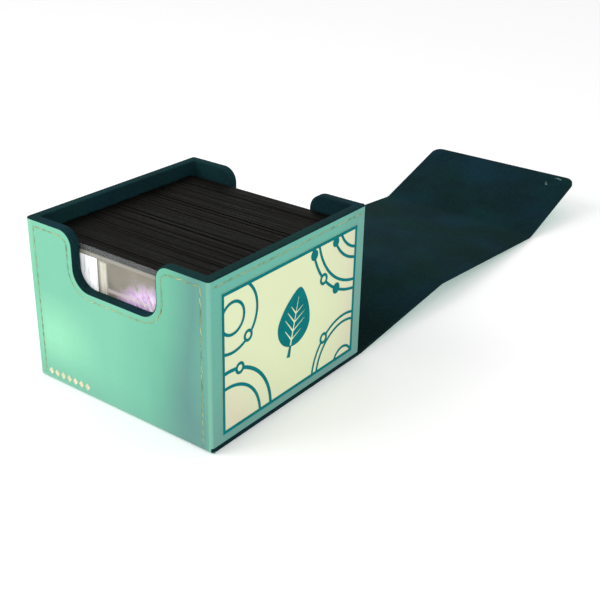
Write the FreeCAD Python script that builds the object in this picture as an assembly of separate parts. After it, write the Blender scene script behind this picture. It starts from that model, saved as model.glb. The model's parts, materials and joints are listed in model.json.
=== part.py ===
import FreeCAD, Part
import math
import os
from FreeCAD import Vector

# Card deck box: a rigid tray in leatherette with a soft fold-over lid.
# The lid is one strip that starts under the tray and folds up at the back,
# over the rim and down the front, where hidden magnets hold it shut.
#
# Frame, in millimetres: origin at the centre of the tray's underside,
# +X towards the printed side wall, -Y towards the front, +Z up.
# The lid lies open behind the tray.

# Cards and their sleeves; the tray is sized round them
CARD_WIDTH = 88.0        # the cards lie on this edge, across the tray
CARD_HEIGHT = 63.0
CARD_THICKNESS = 0.32
SLEEVE_FILM = 0.17       # both layers of a double sleeve
SLEEVE_SIDE = 1.8        # sleeve past the card at each end
SLEEVE_OVER = 3.0        # sleeve over the card's height
SLEEVE_GAP = 0.26        # between two sleeved cards in the row
CARD_CLEARANCE = 0.3     # under the cards and before the first one
FREE_BEHIND = 2.6        # least free space behind the last card

# Tray
SIDE_ROOM = 1.5          # between the sleeves and each side wall
HEADROOM = 6.2           # sleeves to rim
INSIDE_DEPTH = 97.2      # front wall to rear wall, inside
UPRIGHT_ROUNDING = 1.6   # of the four upright corners
WRAP_PAST_CORNER = 0.6   # front and rear skins end this far past the rounding

# Layers
SKIN = 0.7               # leatherette
LINING = 0.6             # microfibre
WALL_BOARD = 3.2         # board in the four walls
FLOOR_BOARD = 1.8        # board under the cards
STRIP_BOARD = 1.3        # board in the lid strip and under the tray

# Thumb cut-outs in the front and rear walls
CUT_WIDTH = 47.3
CUT_DEPTH = 25.3
CUT_SHOULDER = 7.2       # rounding where the cut-out meets the rim
CUT_FOOT = 8.6           # rounding in its lower corners

# Lid strip
CLOSE_GAP = 0.6          # between the tray and the closed lid
FOLD_GAP = 0.35          # between two panels folded square
WEB_GAP = 0.3            # between the two halves of a fold web
FLAP_LENGTH = 64.0       # last fold to the tip
FLAP_ROUNDING = 6.0      # of the flap's two corners
BACK_RISE = 6.5          # degrees that the back panel stands off the table
FLAP_RISE = 17.5         # degrees that the front flap stands off the table

# Magnets
MAGNET_DIAMETER = 10.0
MAGNET_THICKNESS = 1.5   # of the pair in the front wall
MAGNET_FIT = 0.1         # clearance round a magnet
MAGNET_FROM_SIDE = 11.0  # magnet's centre to the side of the box
MAGNET_FROM_TIP = 8.5

# Trim
THREAD = 0.6             # width of a sewn line
THREAD_PROUD = 0.3
SEAM_EDGE = 3.4          # seam to the rim and to the cut-out
SEAM_SIDE = 4.5          # front seam to the upright corners
SEAM_END = 1.7           # side seams stop this far from the corners
SEAM_FOOT = 4.0          # height at which the front seam starts
PRINT_THICKNESS = 0.15
PRINT_SIDE = 6.9         # printed patch to the upright corners
PRINT_FOOT = 6.2
PRINT_HEAD = 7.7         # printed patch to the rim
BORDER = 1.5             # width of the printed border line
INK_THICKNESS = 0.1
MARK_COUNT = 7           # lozenges in the foil mark
MARK_PITCH = 3.9
MARK_WIDTH = 3.1
MARK_HEIGHT = 3.6
MARK_FROM_SIDE = 6.4
MARK_FOOT = 3.1
FOIL_THICKNESS = 0.1

# Worked out from the above
STRIP = SKIN + STRIP_BOARD + LINING
WALL = SKIN + WALL_BOARD + LINING
BOARD_INNER = SKIN + WALL_BOARD
FLOOR = STRIP + FLOOR_BOARD + LINING
SLEEVE_WIDTH = CARD_WIDTH + 2 * SLEEVE_SIDE
SLEEVE_HEIGHT = CARD_HEIGHT + SLEEVE_OVER
SLEEVE_THICKNESS = CARD_THICKNESS + 2 * SLEEVE_FILM
SLEEVE_PITCH = SLEEVE_THICKNESS + SLEEVE_GAP
WIDTH = SLEEVE_WIDTH + 2 * SIDE_ROOM + 2 * WALL
DEPTH = INSIDE_DEPTH + 2 * WALL
HEIGHT = FLOOR + CARD_CLEARANCE + SLEEVE_HEIGHT + HEADROOM
HALF_WIDTH = WIDTH / 2
HALF_DEPTH = DEPTH / 2
BOARD_TOP = HEIGHT - LINING
SKIN_WRAP = UPRIGHT_ROUNDING + WRAP_PAST_CORNER
TOE_ROUNDING = STRIP     # where the front skin turns under the base
WEB = SKIN + LINING
FOLD_END = STRIP / 2 + FOLD_GAP
BACK_LENGTH = HEIGHT + CLOSE_GAP
TOP_LENGTH = DEPTH + 2 * CLOSE_GAP + STRIP
TOP_FALL = math.degrees(math.asin(BACK_LENGTH * math.sin(math.radians(BACK_RISE)) / TOP_LENGTH))
BEYOND = 400.0           # reach of the blocks that only cut or select

os.makedirs("parts", exist_ok=True)


def save(name, *solids):
    """Write one node; several solids make a group."""
    shape = solids[0] if len(solids) == 1 else Part.makeCompound(list(solids))
    shape.exportStep(f"parts/{name}.step")


def block(x0, x1, y0, y1, z0, z1):
    return Part.makeBox(x1 - x0, y1 - y0, z1 - z0, Vector(x0, y0, z0))


def upright_edges(shape, wanted=lambda edge: True):
    """Edges that run straight up, kept if wanted says so."""
    found = []
    for edge in shape.Edges:
        low, high = edge.BoundBox.ZMin, edge.BoundBox.ZMax
        across = edge.BoundBox.XLength + edge.BoundBox.YLength
        if high - low > 0.1 and across < 0.001 and wanted(edge):
            found.append(edge)
    return found


def tray_block(inset, z0, z1):
    """The tray's plan drawn in by inset, with its upright corners rounded."""
    body = block(inset - HALF_WIDTH, HALF_WIDTH - inset, inset - HALF_DEPTH, HALF_DEPTH - inset, z0, z1)
    rounding = UPRIGHT_ROUNDING - inset
    if rounding <= 0:
        return body
    return body.makeFillet(rounding, upright_edges(body))


def wall_ring(outer, inner, z0, z1):
    """The four walls' layer between two insets."""
    return tray_block(outer, z0, z1).cut(tray_block(inner, z0, z1))


def side_of(name, depth):
    """Block that selects one wall; front and rear walls own the corners, to this depth."""
    reach = HALF_DEPTH - depth
    limits = {
        "front": (-BEYOND, BEYOND, -BEYOND, -reach),
        "rear": (-BEYOND, BEYOND, reach, BEYOND),
        "left": (-BEYOND, 0, -reach, reach),
        "right": (0, BEYOND, -reach, reach),
    }
    return block(*limits[name], -BEYOND, BEYOND)


def cut_out_face(grow=0.0):
    """Thumb cut-out in the XZ plane; grow moves its outline into the wall."""
    half = CUT_WIDTH / 2
    shoulder_x, shoulder_z = half + CUT_SHOULDER, HEIGHT - CUT_SHOULDER
    foot_x, foot_z = half - CUT_FOOT, HEIGHT - CUT_DEPTH + CUT_FOOT
    shoulder, foot = CUT_SHOULDER - grow, CUT_FOOT + grow
    slant = math.sqrt(0.5)

    def at(x, z):
        return Vector(x, 0, z)

    edges = []
    for side in (-1, 1):
        rim = at(side * shoulder_x, shoulder_z + shoulder)
        upper = at(side * (shoulder_x - shoulder), shoulder_z)
        upper_middle = at(side * (shoulder_x - shoulder * slant), shoulder_z + shoulder * slant)
        lower = at(side * (foot_x + foot), foot_z)
        lower_middle = at(side * (foot_x + foot * slant), foot_z - foot * slant)
        bottom = at(side * foot_x, foot_z - foot)
        edges += [
            Part.LineSegment(at(side * shoulder_x, HEIGHT + CUT_SHOULDER), rim).toShape(),
            Part.Arc(rim, upper_middle, upper).toShape(),
            Part.LineSegment(upper, lower).toShape(),
            Part.Arc(lower, lower_middle, bottom).toShape(),
        ]
    edges.append(Part.LineSegment(at(-foot_x, foot_z - foot), at(foot_x, foot_z - foot)).toShape())
    above = HEIGHT + CUT_SHOULDER
    edges.append(Part.LineSegment(at(-shoulder_x, above), at(shoulder_x, above)).toShape())
    return Part.Face(Part.Wire(Part.__sortEdges__(edges)))


def cut_outs(grow=0.0):
    """The cut-out carried right through the front and rear walls."""
    face = cut_out_face(grow)
    face.translate(Vector(0, -BEYOND / 2, 0))
    return face.extrude(Vector(0, BEYOND, 0))


def toe_block(inset):
    """Side profile of the tray's base, rounded where the front turns under, carried across X."""
    front, radius = -HALF_DEPTH, TOE_ROUNDING - inset
    centre = Vector(0, front + TOE_ROUNDING, TOE_ROUNDING)
    slant = radius * math.sqrt(0.5)
    points = [
        Vector(0, front + inset, BEYOND),
        Vector(0, front + inset, TOE_ROUNDING),
        Vector(0, front + TOE_ROUNDING, inset),
        Vector(0, BEYOND, inset),
        Vector(0, BEYOND, BEYOND),
    ]
    edges = [Part.LineSegment(points[i], points[(i + 1) % 5]).toShape() for i in (0, 2, 3, 4)]
    edges.append(Part.Arc(points[1], centre + Vector(0, -slant, -slant), points[2]).toShape())
    face = Part.Face(Part.Wire(Part.__sortEdges__(edges)))
    face.translate(Vector(-BEYOND, 0, 0))
    return face.extrude(Vector(2 * BEYOND, 0, 0))


def base_block(inset, z0, z1):
    """The strip under the tray: the tray's front corners, and a straight end at the back fold."""
    end = fold_axes()[0].y - FOLD_END
    body = block(inset - HALF_WIDTH, HALF_WIDTH - inset, inset - HALF_DEPTH, end, z0, z1)
    front_edges = upright_edges(body, lambda edge: edge.BoundBox.YMin < 0)
    rounding = UPRIGHT_ROUNDING - inset
    return body.makeFillet(rounding, front_edges) if rounding > 0 else body


# Tray walls

def wall_skins():
    """Leatherette on the four walls; the front one turns under the base."""
    ring = wall_ring(0, SKIN, STRIP, BOARD_TOP).cut(cut_outs(LINING))
    skins = {name: ring.common(side_of(name, SKIN_WRAP)) for name in ("front", "rear", "left", "right")}
    toe = base_block(0, 0, STRIP).common(toe_block(0)).cut(toe_block(SKIN))
    toe = toe.common(block(-BEYOND, BEYOND, -BEYOND, TOE_ROUNDING - HALF_DEPTH, 0, STRIP))
    skins["front"] = skins["front"].fuse(toe).removeSplitter()
    return skins


def wall_boards():
    ring = wall_ring(SKIN, BOARD_INNER, STRIP, BOARD_TOP).cut(cut_outs(LINING))
    boards = {name: ring.common(side_of(name, BOARD_INNER)) for name in ("front", "rear", "left", "right")}
    for magnet in wall_magnets(MAGNET_FIT):
        boards["front"] = boards["front"].cut(magnet)
    return boards


def wall_linings(skins, boards):
    """Microfibre inside each wall, folded over the rim and through the cut-outs."""
    ring = wall_ring(0, WALL, FLOOR, HEIGHT).cut(cut_outs())
    for layer in list(skins.values()) + list(boards.values()) + wall_magnets(MAGNET_FIT):
        ring = ring.cut(layer)
    return {name: ring.common(side_of(name, WALL)) for name in ("front", "rear", "left", "right")}


def wall_magnets(clearance=0.0):
    """Discs let into the outer face of the front wall's board, opposite those of the closed flap."""
    height = HEIGHT + CLOSE_GAP + STRIP / 2 - (FLAP_LENGTH - MAGNET_FROM_TIP)
    radius = MAGNET_DIAMETER / 2 + clearance
    face = SKIN - HALF_DEPTH
    discs = []
    for side in (-1, 1):
        start = Vector(side * (HALF_WIDTH - MAGNET_FROM_SIDE), face, height)
        discs.append(Part.makeCylinder(radius, MAGNET_THICKNESS + clearance, start, Vector(0, 1, 0)))
    return discs


# Tray floor and the strip under it

def floor_layers():
    inner_x, inner_y = HALF_WIDTH - BOARD_INNER, HALF_DEPTH - BOARD_INNER
    board = block(-inner_x, inner_x, -inner_y, inner_y, STRIP, STRIP + FLOOR_BOARD)
    lining = block(-inner_x, inner_x, -inner_y, inner_y, STRIP + FLOOR_BOARD, FLOOR)
    return board, lining


def base_layers():
    """Skin, board and lining of the strip's first panel, which the tray is glued to."""
    behind_toe = block(-BEYOND, BEYOND, TOE_ROUNDING - HALF_DEPTH, BEYOND, 0, SKIN)
    skin = base_block(0, 0, SKIN).common(behind_toe)
    board = base_block(SKIN, SKIN, SKIN + STRIP_BOARD).common(toe_block(SKIN))
    lining = base_block(0, SKIN, STRIP).common(toe_block(SKIN)).cut(board)
    return skin, board, lining


# Lid strip

def fold_axes():
    """The back, top and front folds, as points on their axes; each axis runs along +X."""
    back = Vector(0, HALF_DEPTH + CLOSE_GAP + STRIP / 2, STRIP / 2)
    rise, fall = math.radians(BACK_RISE), math.radians(TOP_FALL)
    top = back + Vector(0, BACK_LENGTH * math.cos(rise), BACK_LENGTH * math.sin(rise))
    front = top + Vector(0, TOP_LENGTH * math.cos(fall), -TOP_LENGTH * math.sin(fall))
    return back, top, front


def lay(shape, axis, degrees):
    """Turn a panel drawn along +Y about its fold axis and put it on that axis."""
    placed = shape.copy()
    placed.rotate(Vector(0, 0, 0), Vector(1, 0, 0), degrees)
    placed.translate(axis)
    return placed


def panel_layers(length, tip_rounding=0.0):
    """Skin, board and lining of a lid panel; a panel with a tip has no second fold."""
    low, high = -STRIP / 2, STRIP / 2
    tip = tip_rounding > 0
    end = length if tip else length - FOLD_END

    def plate(inset, z0, z1):
        far = end - inset if tip else end
        body = block(inset - HALF_WIDTH, HALF_WIDTH - inset, FOLD_END, far, z0, z1)
        if not tip:
            return body
        corners = upright_edges(body, lambda edge: edge.BoundBox.YMin > length / 2)
        return body.makeFillet(tip_rounding - inset, corners)

    skin = plate(0, low, low + SKIN)
    board = plate(LINING, low + SKIN, high - LINING)
    lining = plate(0, low + SKIN, high).cut(board)
    return skin, board, lining


def near_web():
    """Half of a fold web on the panel that turns, clear of the bead on the axis."""
    return block(-HALF_WIDTH, HALF_WIDTH, WEB / 2 + WEB_GAP, FOLD_END, -WEB / 2, WEB / 2)


def far_web(length):
    """Half of a fold web that carries the bead on the next axis."""
    flat = block(-HALF_WIDTH, HALF_WIDTH, length - FOLD_END, length, -WEB / 2, WEB / 2)
    bead = Part.makeCylinder(WEB / 2, WIDTH, Vector(-HALF_WIDTH, length, 0), Vector(1, 0, 0))
    return flat.fuse(bead).removeSplitter()


def flap_magnets(clearance=0.0):
    radius = MAGNET_DIAMETER / 2 + clearance
    along = FLAP_LENGTH - MAGNET_FROM_TIP
    discs = []
    for side in (-1, 1):
        start = Vector(side * (HALF_WIDTH - MAGNET_FROM_SIDE), along, SKIN - STRIP / 2)
        discs.append(Part.makeCylinder(radius, STRIP_BOARD, start))
    return discs


def lid():
    back, top, front = fold_axes()
    panels = (
        ("back_panel", back, BACK_RISE, BACK_LENGTH, 0.0),
        ("top_panel", top, -TOP_FALL, TOP_LENGTH, 0.0),
        ("flap", front, FLAP_RISE, FLAP_LENGTH, FLAP_ROUNDING),
    )
    for name, axis, degrees, length, rounding in panels:
        skin, board, lining = panel_layers(length, rounding)
        webs = [near_web()]
        if name == "flap":
            for magnet in flap_magnets(MAGNET_FIT):
                board = board.cut(magnet)
            save("flap_magnets", *[lay(disc, axis, degrees) for disc in flap_magnets()])
        else:
            webs.append(far_web(length))
        save(f"{name}_skin", lay(skin, axis, degrees))
        save(f"{name}_board", lay(board, axis, degrees))
        save(f"{name}_lining", lay(lining, axis, degrees))
        save(f"{name}_webs", *[lay(web, axis, degrees) for web in webs])
    save("base_web", lay(far_web(0), back, 0))


# Cards

def card_places():
    """Front face of each sleeved card after the first."""
    first = CARD_CLEARANCE - INSIDE_DEPTH / 2
    last = INSIDE_DEPTH / 2 - FREE_BEHIND - SLEEVE_THICKNESS
    count = int((last - first) / SLEEVE_PITCH)
    return first, [first + SLEEVE_PITCH * (i + 1) for i in range(count)]


def upright_card(width, height, thickness, front, lift=0.0):
    """A card or sleeve standing on the tray's floor, its front face at this place."""
    foot = FLOOR + CARD_CLEARANCE + lift
    return block(-width / 2, width / 2, front, front + thickness, foot, foot + height)


def sleeved_card(front):
    return upright_card(SLEEVE_WIDTH, SLEEVE_HEIGHT, SLEEVE_THICKNESS, front)


def cards():
    first, rest = card_places()
    save("sleeved_cards", *[sleeved_card(front) for front in rest])
    inside = first + SLEEVE_FILM
    pocket_width = SLEEVE_WIDTH - 2 * SLEEVE_FILM
    pocket = upright_card(pocket_width, SLEEVE_HEIGHT, CARD_THICKNESS, inside, SLEEVE_FILM)
    save("front_card", upright_card(CARD_WIDTH, CARD_HEIGHT, CARD_THICKNESS, inside, SLEEVE_FILM))
    save("front_sleeve", sleeved_card(first).cut(pocket))


# Trim

def front_seam():
    """One thread up both sides of the front wall, along the rim and round the cut-out."""
    def inside(grow):
        side = HALF_WIDTH - SEAM_SIDE + SEAM_EDGE - grow
        face = Part.Face(Part.makePolygon([
            Vector(-side, 0, SEAM_FOOT), Vector(side, 0, SEAM_FOOT),
            Vector(side, 0, HEIGHT - grow), Vector(-side, 0, HEIGHT - grow),
            Vector(-side, 0, SEAM_FOOT)]))
        return face.cut(cut_out_face(grow))

    line = inside(SEAM_EDGE - THREAD / 2).cut(inside(SEAM_EDGE + THREAD / 2))
    line.translate(Vector(0, -HALF_DEPTH, 0))
    return line.extrude(Vector(0, -THREAD_PROUD, 0)).Solids


def side_seams():
    reach, middle = HALF_DEPTH - SEAM_END, HEIGHT - SEAM_EDGE
    seams = []
    for x0, x1 in ((-HALF_WIDTH - THREAD_PROUD, -HALF_WIDTH), (HALF_WIDTH, HALF_WIDTH + THREAD_PROUD)):
        seams.append(block(x0, x1, -reach, reach, middle - THREAD / 2, middle + THREAD / 2))
    return seams


def printed_panel():
    """Printed patch on the right wall and the border line round it."""
    def patch(inset, x0, x1):
        reach = HALF_DEPTH - PRINT_SIDE - inset
        return block(x0, x1, -reach, reach, PRINT_FOOT + inset, HEIGHT - PRINT_HEAD - inset)

    face = HALF_WIDTH + PRINT_THICKNESS
    border = patch(0, face, face + INK_THICKNESS).cut(patch(BORDER, face, face + INK_THICKNESS))
    return patch(0, HALF_WIDTH, face), border


def foil_mark():
    """A plain row of lozenges low on the front wall."""
    half_wide, half_high = MARK_WIDTH / 2, MARK_HEIGHT / 2
    lozenges = []
    for i in range(MARK_COUNT):
        x = MARK_FROM_SIDE - HALF_WIDTH + half_wide + MARK_PITCH * i
        z = MARK_FOOT + half_high
        corners = [Vector(x - half_wide, -HALF_DEPTH, z), Vector(x, -HALF_DEPTH, z - half_high),
                   Vector(x + half_wide, -HALF_DEPTH, z), Vector(x, -HALF_DEPTH, z + half_high)]
        face = Part.Face(Part.makePolygon(corners + corners[:1]))
        lozenges.append(face.extrude(Vector(0, -FOIL_THICKNESS, 0)))
    return lozenges


def tray():
    skins, boards = wall_skins(), wall_boards()
    linings = wall_linings(skins, boards)
    for wall in ("front", "rear", "left", "right"):
        save(f"{wall}_skin", skins[wall])
        save(f"{wall}_board", boards[wall])
        save(f"{wall}_lining", linings[wall])
    save("wall_magnets", *wall_magnets())
    floor_board, floor_lining = floor_layers()
    save("floor_board", floor_board)
    save("floor_lining", floor_lining)
    base_skin, base_board, base_lining = base_layers()
    save("base_skin", base_skin)
    save("base_board", base_board)
    save("base_lining", base_lining)
    save("front_seam", *front_seam())
    save("side_seams", *side_seams())
    panel, border = printed_panel()
    save("printed_panel", panel)
    save("print_border", border)
    save("foil_mark", *foil_mark())


tray()
lid()
cards()
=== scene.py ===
import json
import math
import random

import bmesh
import bpy
from mathutils import Matrix, Quaternion, Vector


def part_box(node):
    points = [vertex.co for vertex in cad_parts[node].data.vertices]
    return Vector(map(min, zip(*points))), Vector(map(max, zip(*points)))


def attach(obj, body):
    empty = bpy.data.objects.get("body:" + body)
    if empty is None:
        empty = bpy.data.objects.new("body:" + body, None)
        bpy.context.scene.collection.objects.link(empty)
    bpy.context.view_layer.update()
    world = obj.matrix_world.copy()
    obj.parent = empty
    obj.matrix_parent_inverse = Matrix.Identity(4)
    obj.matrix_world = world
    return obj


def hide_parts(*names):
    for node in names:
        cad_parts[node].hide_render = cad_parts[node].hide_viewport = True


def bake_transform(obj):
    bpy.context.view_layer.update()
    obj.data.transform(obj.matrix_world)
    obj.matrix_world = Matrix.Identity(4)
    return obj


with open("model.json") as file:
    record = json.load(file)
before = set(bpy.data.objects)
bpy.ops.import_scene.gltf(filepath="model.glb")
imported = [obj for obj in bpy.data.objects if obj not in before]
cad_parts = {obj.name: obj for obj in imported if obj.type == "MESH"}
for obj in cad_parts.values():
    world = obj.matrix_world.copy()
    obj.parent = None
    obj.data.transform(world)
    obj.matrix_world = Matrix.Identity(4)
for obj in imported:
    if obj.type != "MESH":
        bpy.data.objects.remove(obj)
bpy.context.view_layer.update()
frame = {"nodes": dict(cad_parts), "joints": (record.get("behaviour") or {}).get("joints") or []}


# ---------------------------------------------------------------------------
# Leatherette: polyurethane skin in mint green, on the outside of the tray and
# of the lid. It is embossed with a fine pebble grain and has a soft satin gloss.
# Its colour carries painted light and shade, most of it on the front and right walls.

class Link:
    """A shader socket, or a number, that can be added, taken away and multiplied."""

    def __init__(self, shader, socket):
        self.shader = shader
        self.socket = socket

    def maths(self, operation, *others, swap=False):
        values = [self, *others]
        if swap:
            values.reverse()
        inputs = dict(enumerate(values))
        return self.shader.node("ShaderNodeMath", {"operation": operation}, inputs)

    def __add__(self, other):
        return self.maths("ADD", other)

    def __sub__(self, other):
        return self.maths("SUBTRACT", other)

    def __rsub__(self, other):
        return self.maths("SUBTRACT", other, swap=True)

    def __mul__(self, other):
        return self.maths("MULTIPLY", other)

    __radd__ = __add__
    __rmul__ = __mul__

    def above(self, other):
        return self.maths("GREATER_THAN", other)

    def below(self, other):
        return self.maths("LESS_THAN", other)


class Shader:
    """A material with one Principled shader; what varies over it comes from node()."""

    def __init__(self, name, **constants):
        self.material = bpy.data.materials.new(name)
        self.material.use_nodes = True
        self.tree = self.material.node_tree
        self.surface = self.tree.nodes["Principled BSDF"]
        for socket, value in constants.items():
            self.surface.inputs[socket.replace("_", " ")].default_value = value

    def node(self, kind, settings=None, inputs=None, output=0):
        made = self.tree.nodes.new(kind)
        for name, value in (settings or {}).items():
            if name == "stops":
                ramp = made.color_ramp.elements
                while len(ramp) < len(value):
                    ramp.new(0.5)
                for element, (place, colour) in zip(ramp, value):
                    element.position = place
                    element.color = colour
            else:
                setattr(made, name, value)
        for name, value in (inputs or {}).items():
            self.feed(made.inputs[name], value)
        return Link(self, made.outputs[output])

    def feed(self, socket, value):
        if isinstance(value, Link):
            self.tree.links.new(value.socket, socket)
        else:
            socket.default_value = value

    def drive(self, **sockets):
        for name, value in sockets.items():
            self.feed(self.surface.inputs[name.replace("_", " ")], value)

    def place(self):
        return self.node("ShaderNodeTexCoord", output="Object")

    def axes(self):
        """The place's x, y and z, each as a value."""
        split = self.node("ShaderNodeSeparateXYZ", {}, {"Vector": self.place()})
        return [Link(self, split.socket.node.outputs[axis]) for axis in "XYZ"]

    def noise(self, scale, detail=2.0, roughness=0.5, stretch=(1, 1, 1), distortion=0.0):
        """Noise between 0 and 1; scale is in features per metre."""
        vector = self.node("ShaderNodeMapping", {}, {"Vector": self.place(), "Scale": stretch})
        inputs = {"Vector": vector, "Scale": scale, "Detail": detail,
                  "Roughness": roughness, "Distortion": distortion}
        return self.node("ShaderNodeTexNoise", {}, inputs)

    def cells(self, scale):
        inputs = {"Vector": self.place(), "Scale": scale}
        return self.node("ShaderNodeTexVoronoi", {"feature": "SMOOTH_F1"}, inputs)

    def spread(self, value, low, high, start=0.0, end=1.0):
        """value carried from low..high to start..end, and held there."""
        inputs = {"Value": value, "From Min": low, "From Max": high,
                  "To Min": start, "To Max": end}
        return self.node("ShaderNodeMapRange", {"clamp": True}, inputs)

    def ramp(self, value, *stops):
        return self.node("ShaderNodeValToRGB", {"stops": stops}, {"Fac": value})

    def mix(self, factor, first, second):
        inputs = {0: factor, 6: first, 7: second}
        return self.node("ShaderNodeMix", {"data_type": "RGBA"}, inputs, output=2)

    def bump(self, height, depth, strength=1.0):
        """Normal of a relief; height is 0 to 1 and depth is in metres."""
        inputs = {"Height": height, "Distance": depth, "Strength": strength}
        return self.node("ShaderNodeBump", {}, inputs)

    def varied(self, scale, start, end, low=0.3, high=0.7, **noise):
        """A value that noise carries from start to end."""
        return self.spread(self.noise(scale, **noise), low, high, start, end)

    def two_tone(self, scale, first, second, low=0.3, high=0.7, **noise):
        """Noise patches of two colours."""
        return self.mix(self.varied(scale, 0.0, 1.0, low, high, **noise), first, second)

    def relief(self, scale, depth, strength, **noise):
        """Normal of a relief made by noise."""
        return self.bump(self.noise(scale, **noise), depth, strength)


def linear(*display):
    """Display colour, 0 to 255, as the shader wants it."""
    toe_end = 0.04045
    shares = [value / 255 for value in display]
    return (*(share / 12.92 if share < toe_end else ((share + 0.055) / 1.055) ** 2.4
              for share in shares), 1)


def make_leatherette():
    skin = Shader("mint_leatherette", Specular_IOR_Level=0.4, Sheen_Weight=0.05,
                  Sheen_Roughness=0.5)
    across, along, upward = skin.axes()
    on_front_wall = skin.spread(along, -0.046, -0.051)
    on_left_wall = skin.spread(across, -0.0505, -0.0515)
    on_right_wall = skin.spread(across, 0.051, 0.0517) * skin.spread(along, 0.054, 0.053)
    clear_of_corner = skin.spread(across, 0.051, 0.048)

    # The skin's colour carries painted light and shade: lighter on the left and greyer on the
    # right.
    drift = across + (skin.noise(11, detail=1.0) - 0.5) * 0.022 + on_left_wall * 0.045
    colour = skin.ramp(skin.spread(drift, -0.06, 0.06),
                       (0.0, linear(150, 226, 184)), (0.08, linear(117, 198, 165)),
                       (0.5, linear(120, 199, 168)), (0.75, linear(103, 184, 154)),
                       (0.86, linear(90, 150, 139)), (0.94, linear(99, 170, 151)))
    # Painted light and shade on the front wall: a painted highlight low on its left, painted shade
    # along its foot and over its right part.
    painted_highlight = skin.spread(across, -0.008, -0.036) * skin.spread(across, -0.052, -0.044)
    painted_highlight = painted_highlight * skin.spread(upward, 0.046, 0.028) * skin.spread(upward, 0.004, 0.022)
    colour = skin.mix(painted_highlight * on_front_wall * 0.8, colour, linear(152, 230, 188))
    foot = skin.spread(upward, 0.016, 0.002) * clear_of_corner
    colour = skin.mix(foot * on_front_wall * 0.4, colour, linear(116, 170, 154))
    shade = skin.spread(across, 0.016, 0.036) * skin.spread(upward, 0.046, 0.012)
    shade = shade * clear_of_corner * on_front_wall
    colour = skin.mix(shade * 0.55, colour, linear(90, 134, 132))
    # Painted shade on the right wall: darker low down and greyer towards the rear.
    height = upward + (skin.noise(14, detail=1.0) - 0.5) * 0.03
    right_wall_painted_shade = skin.ramp(skin.spread(height, 0.0, 0.08), (0.0, linear(103, 156, 148)),
                          (0.4, linear(99, 172, 154)), (0.9, linear(97, 182, 163)))
    right_wall_painted_shade = skin.mix(skin.spread(along, 0.03, 0.052) * 0.6, right_wall_painted_shade,
                         linear(103, 158, 149))
    colour = skin.mix(on_right_wall, colour, right_wall_painted_shade)

    # The right wall's rounded corners get a painted highlight, and the pebbles' tops are darker
    # than their sides.
    corner_highlight = skin.spread(across, 0.0501, 0.0508) * skin.spread(across, 0.05178, 0.0515)
    colour = skin.mix(corner_highlight * 0.55, colour, linear(142, 206, 180))
    grain = skin.spread(skin.cells(1500), 0.1, 0.75) * 0.7 + skin.noise(4200) * 0.3
    colour = skin.mix(skin.spread(grain, 0.5, 1.0, 0.0, 0.12), colour, linear(82, 150, 132))
    skin.drive(Base_Color=colour, Roughness=skin.varied(90, 0.44, 0.58),
               Normal=skin.bump(1 - grain, 0.00006, 0.8))
    return skin.material


leatherette = make_leatherette()


# ---------------------------------------------------------------------------
# Microfibre: short-napped dark teal lining, folded over the rim and the edges.
# Brushed patches lie lighter, bluer or greener than the rest.

def make_microfibre(name, deep, blue, green, lift, shadowed_by_tray=False):
    lining = Shader(name, Specular_IOR_Level=0.05, Sheen_Weight=0.03, Sheen_Roughness=0.5,
                    Sheen_Tint=linear(120, 160, 165))
    patches = lining.noise(34, detail=2.5, roughness=0.55, distortion=0.3)
    hue = lining.noise(21, detail=1.5)
    colour = lining.mix(lining.spread(hue, 0.38, 0.62), green, blue)
    colour = lining.mix(lining.spread(patches, 0.36, 0.66, 0.75, 0.0), colour, deep)
    # Painted shadow of the tray: the lid's lining is darker next to the tray's rear wall, most on
    # the right.
    if shadowed_by_tray:
        across, along, _ = lining.axes()
        tray_shadow = (lining.spread(along, 0.13, 0.075) * lining.spread(along, 0.05, 0.053)
                   * lining.spread(across, -0.02, 0.03))
        colour = lining.mix(tray_shadow * 0.7, colour, linear(2, 14, 16))
    nap = lining.noise(3800, detail=3.0, roughness=0.7, stretch=(1, 0.35, 1))
    pile = lining.noise(800, detail=3.0, roughness=0.6)
    colour = lining.mix(lining.spread(nap * 0.5 + pile * 0.5, 0.42, 0.68, 0.0, lift), colour,
                        linear(62, 96, 100))
    lining.drive(Base_Color=colour, Roughness=lining.spread(patches, 0.3, 0.7, 0.88, 0.98),
                 Normal=lining.bump(nap, 0.00012, 0.6))
    return lining.material


microfibre = make_microfibre("teal_microfibre", linear(11, 37, 40), linear(16, 48, 58),
                             linear(18, 52, 50), 0.16)
lid_lining = make_microfibre("teal_lid_microfibre", linear(6, 27, 29), linear(12, 42, 54),
                             linear(8, 42, 38), 0.12, shadowed_by_tray=True)


# ---------------------------------------------------------------------------
# Tray walls: four boards stand on the base, wrapped outside in leatherette and
# inside in microfibre, which folds over the rim and through the thumb cut-outs.

MM = 0.001
HAIR = 0.01 * MM
TOUCH = 0.1 * MM
EDGE_ROUNDING = 0.65 * MM
CORNER_ROUNDING = 1.6 * MM
THUMB_SHOULDER = 7.2 * MM
THUMB_FOOT = 8.6 * MM
THUMB_DEPTH = 25.3 * MM
LINING_LAP = 0.6 * MM
SHARP = math.radians(50)

wall_low, wall_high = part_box("left_lining")
wall = wall_high.x - wall_low.x
side = -wall_low.x
rim = wall_high.z
back_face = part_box("rear_skin")[1].y
floor_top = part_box("floor_lining")[1].z
strip_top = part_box("base_lining")[1].z
skin_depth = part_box("left_skin")[1].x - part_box("left_skin")[0].x
lining_depth = floor_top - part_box("floor_lining")[0].z
thumb_half = 23.65 * MM
thumb_bottom = rim - THUMB_DEPTH


def clear_selection():
    if bpy.context.mode != "OBJECT":
        bpy.ops.object.mode_set(mode="OBJECT")
    bpy.ops.object.select_all(action="DESELECT")


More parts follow.
